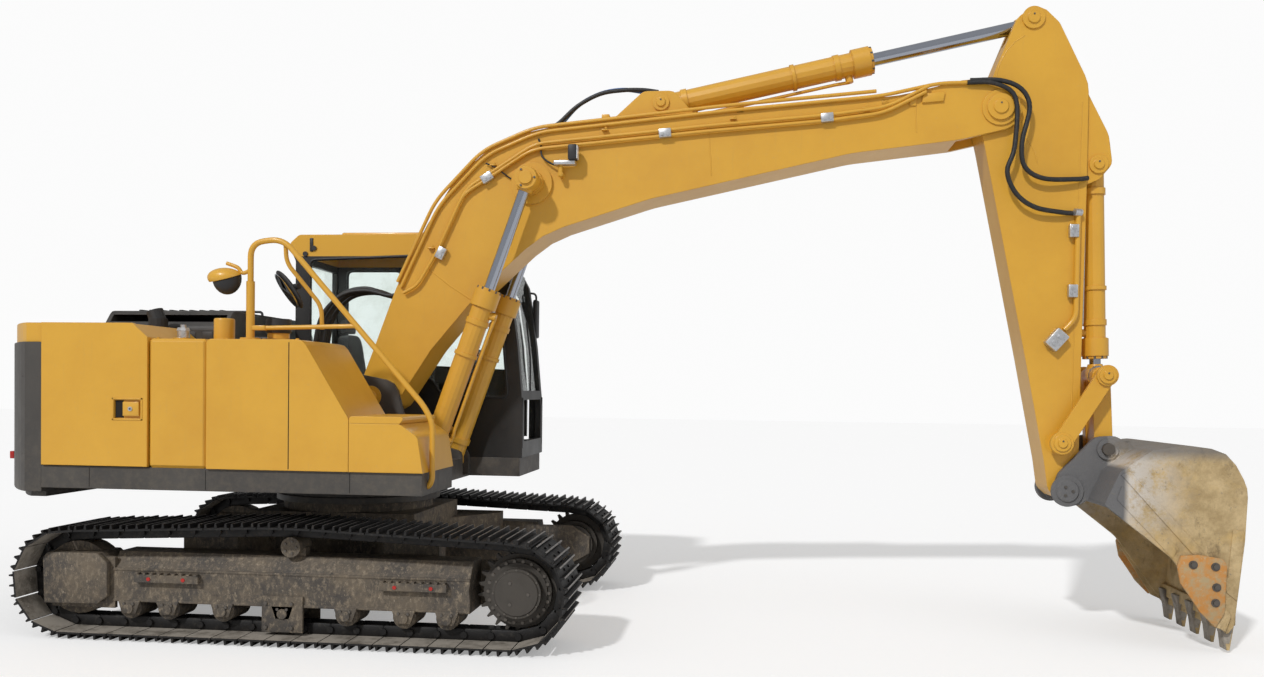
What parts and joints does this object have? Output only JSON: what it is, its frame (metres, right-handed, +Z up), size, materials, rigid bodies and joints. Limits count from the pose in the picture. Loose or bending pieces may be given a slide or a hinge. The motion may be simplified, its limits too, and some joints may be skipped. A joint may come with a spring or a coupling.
{
  "type": "crawler excavator",
  "caption": "Tracked hydraulic excavator with slewing upper structure, enclosed cab, cranked boom, stick and toothed digging bucket.",
  "frame": {"origin": "on the ground under the middle of the machine's overall length as parked, on its centre plane", "axes": "+X forward towards the bucket, +Y to the machine's left (cab side), +Z up"},
  "size_m": [9.4523, 2.98, 4.746],
  "materials": {
    "yellow_paint": "satin, weathered",
    "charcoal_paint": "matte, dusty",
    "frame_paint": "matte with dried mud",
    "track_steel": "worn steel",
    "worn_steel": "worn, rusty",
    "chrome_rod": "polished",
    "window_glass": "clear",
    "seat_cloth": "woven",
    "black_plastic": "matte",
    "engine_iron": "rough"
  },
  "bodies": {
    "undercarriage": {"carbody": "frame_paint", "swing_bearing": "charcoal_paint", "track_frame_right": "frame_paint", "track_frame_left": "frame_paint", "track_right": "track_steel", "track_left": "track_steel", "sprocket_right": "frame_paint", "sprocket_left": "frame_paint", "idler_right": "frame_paint", "idler_left": "frame_paint"},
    "upper_structure": {"main_frame": "charcoal_paint", "counterweight": "charcoal_paint", "counterweight_cap": "yellow_paint", "engine": "engine_iron", "radiator": "charcoal_paint", "pump_bay_frame": "yellow_paint", "hydraulic_tank": "yellow_paint", "fuel_tank": "yellow_paint", "toolbox": "yellow_paint", "engine_bay_frame": "charcoal_paint", "exhaust_stack": "charcoal_paint", "cab_shell": "charcoal_paint", "cab_glass_right": "window_glass", "cab_glass_left": "window_glass", "cab_glass_rear": "window_glass", "cab_glass_front": "window_glass", "seat_base": "black_plastic", "driver_seat": "seat_cloth", "handrail_right": "yellow_paint", "mirror_right": "black_plastic"},
    "toolbox_cover": {"toolbox_lid": "yellow_paint"},
    "hood": {"engine_hood": "charcoal_paint"},
    "pump_door": {"pump_bay_door": "yellow_paint"},
    "radiator_side_door": {"radiator_door": "yellow_paint"},
    "filter_side_door": {"filter_door": "yellow_paint"},
    "driver_door": {"cab_door": "yellow_paint", "door_glass": "window_glass"},
    "boom_arm": {"boom": "yellow_paint"},
    "boom_barrels": {"boom_cylinder_barrel_right": "yellow_paint", "boom_cylinder_barrel_left": "yellow_paint"},
    "boom_rods": {"boom_cylinder_rod_right": "chrome_rod", "boom_cylinder_rod_left": "chrome_rod"},
    "stick_arm": {"stick": "yellow_paint"},
    "stick_barrel": {"stick_cylinder_barrel": "yellow_paint"},
    "stick_rod": {"stick_cylinder_rod": "chrome_rod"},
    "bucket_barrel": {"bucket_cylinder_barrel": "yellow_paint"},
    "bucket_rod": {"bucket_cylinder_rod": "chrome_rod"},
    "rocker_links": {"rocker_link_right": "yellow_paint", "rocker_link_left": "yellow_paint"},
    "push_link": {"power_link": "yellow_paint"},
    "digging_bucket": {"bucket": "worn_steel"}
  },
  "joints": [
    {"name": "swing", "type": "hinge", "parent": "undercarriage", "child": "upper_structure", "pos_m": [-1.965, 0, 1.06], "axis": [0, 0, 1], "continuous": true},
    {"name": "boom", "type": "hinge", "parent": "upper_structure", "child": "boom_arm", "pos_m": [-1.775, 0, 1.74], "axis": [0, -1, 0], "range_deg": [-58, 35]},
    {"name": "stick", "type": "hinge", "parent": "boom_arm", "child": "stick_arm", "pos_m": [3.085, 0, 3.98], "axis": [0, 1, 0], "range_deg": [-72, 40]},
    {"name": "bucket", "type": "hinge", "parent": "stick_arm", "child": "digging_bucket", "pos_m": [3.62, 0, 1.1], "axis": [0, 1, 0], "range_deg": [-3, 160]},
    {"name": "boom_cylinder_turn", "type": "hinge", "parent": "upper_structure", "child": "boom_barrels", "pos_m": [-1.285, 0, 1.2], "axis": [0, -1, 0], "range_deg": [-55.5, 34]},
    {"name": "boom_cylinder_slide", "type": "slide", "parent": "boom_barrels", "child": "boom_rods", "axis": [0.3326, 0, 0.9431], "range_m": [-0.7, 0.43]},
    {"name": "stick_cylinder_turn", "type": "hinge", "parent": "boom_arm", "child": "stick_barrel", "pos_m": [0.515, 0, 4.08], "axis": [0, 1, 0], "range_deg": [-3, 3]},
    {"name": "stick_cylinder_slide", "type": "slide", "parent": "stick_barrel", "child": "stick_rod", "axis": [0.9794, 0, 0.2021], "range_m": [-0.85, 0.48]},
    {"name": "bucket_cylinder_turn", "type": "hinge", "parent": "stick_arm", "child": "bucket_barrel", "pos_m": [3.825, 0, 3.56], "axis": [0, -1, 0], "range_deg": [-2, 2]},
    {"name": "bucket_cylinder_slide", "type": "slide", "parent": "bucket_barrel", "child": "bucket_rod", "axis": [0.0314, 0, -0.9995], "range_m": [-0.03, 1]},
    {"name": "rocker_turn", "type": "hinge", "parent": "stick_arm", "child": "rocker_links", "pos_m": [3.565, 0, 1.46], "axis": [0, 1, 0], "range_deg": [-3, 112]},
    {"name": "power_link_turn", "type": "hinge", "parent": "rocker_links", "child": "push_link", "pos_m": [3.875, 0, 1.97], "axis": [0, -1, 0], "range_deg": [-2, 50]},
    {"name": "cab_door_hinge", "type": "hinge", "parent": "upper_structure", "child": "driver_door", "pos_m": [-2.03, 1.3873, 0], "axis": [0, 0, 1], "range_deg": [0, 170]},
    {"name": "engine_hood_hinge", "type": "hinge", "parent": "upper_structure", "child": "hood", "pos_m": [-3.827, 0, 2.262], "axis": [0, -1, 0], "range_deg": [0, 60]},
    {"name": "pump_door_hinge", "type": "hinge", "parent": "upper_structure", "child": "pump_door", "pos_m": [-3.823, -1.375, 1.7], "axis": [0, 0, -1], "range_deg": [0, 100]},
    {"name": "radiator_door_hinge", "type": "hinge", "parent": "upper_structure", "child": "radiator_side_door", "pos_m": [-3.823, 1.375, 1.7], "axis": [0, 0, 1], "range_deg": [0, 100]},
    {"name": "filter_door_hinge", "type": "hinge", "parent": "upper_structure", "child": "filter_side_door", "pos_m": [-3.29, 1.375, 1.7], "axis": [0, 0, 1], "range_deg": [0, 90]},
    {"name": "toolbox_lid_hinge", "type": "hinge", "parent": "upper_structure", "child": "toolbox_cover", "pos_m": [-1.5265, 0, 1.61], "axis": [0, -1, 0], "range_deg": [0, 95]}
  ],
  "couplings": [
    {"joint": "boom_cylinder_turn", "follows": "boom", "ratio": 0.934},
    {"joint": "boom_cylinder_slide", "follows": "boom", "m_per_rad": 0.674},
    {"joint": "stick_cylinder_turn", "follows": "stick", "ratio": 0.027},
    {"joint": "stick_cylinder_slide", "follows": "stick", "m_per_rad": 0.658},
    {"joint": "bucket_cylinder_turn", "follows": "bucket", "ratio": 0.0036},
    {"joint": "bucket_cylinder_slide", "follows": "bucket", "m_per_rad": 0.352},
    {"joint": "rocker_turn", "follows": "bucket", "ratio": 0.6926},
    {"joint": "power_link_turn", "follows": "bucket", "ratio": 0.307}
  ]
}
